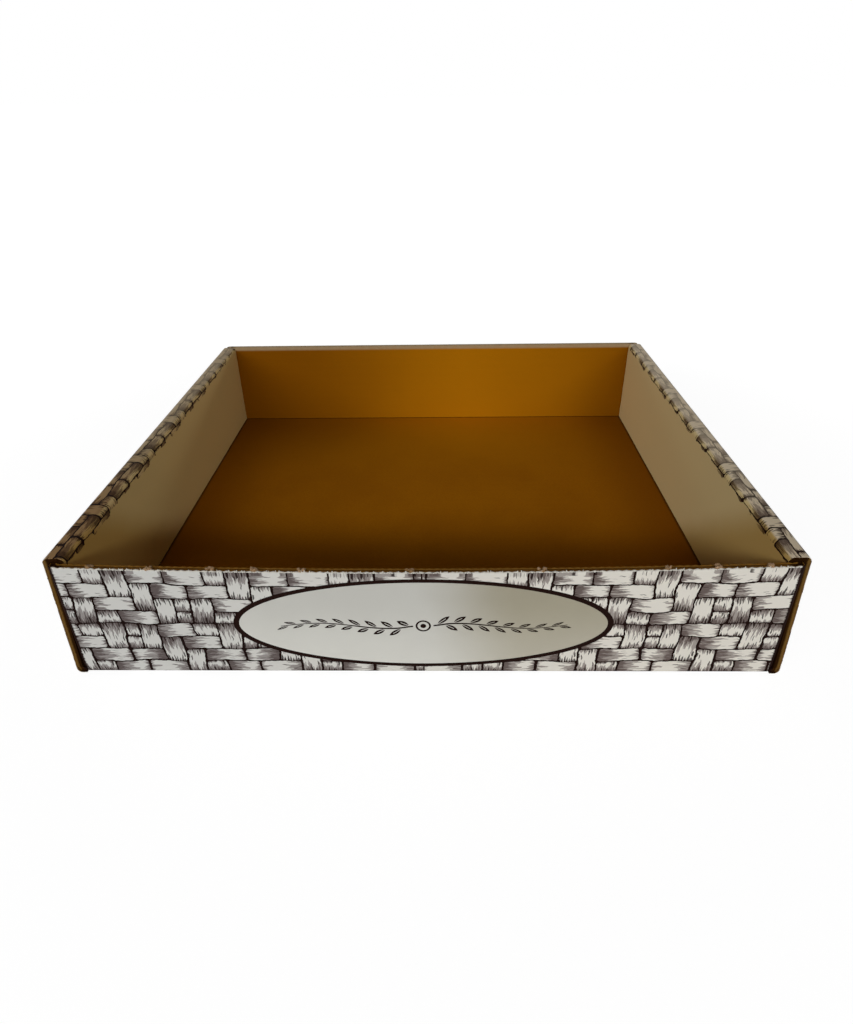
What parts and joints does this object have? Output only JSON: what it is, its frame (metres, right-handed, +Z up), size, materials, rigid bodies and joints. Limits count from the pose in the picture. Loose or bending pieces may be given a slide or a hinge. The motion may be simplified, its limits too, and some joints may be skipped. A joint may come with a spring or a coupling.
{
  "type": "cardboard tray box",
  "caption": "Low open-topped corrugated tray with rolled-over double side walls, single front and back walls and locking tabs in the floor.",
  "frame": {"origin": "under the middle of the tray, on the surface that it stands on", "axes": "+X along the front to the right, +Y from the front wall to the back wall, +Z up"},
  "size_m": [0.32, 0.2898, 0.062],
  "materials": {
    "tray": "matt corrugated board, white printed outside and brown kraft inside"
  },
  "bodies": {
    "root": {"tray": "tray"}
  },
  "joints": []
}
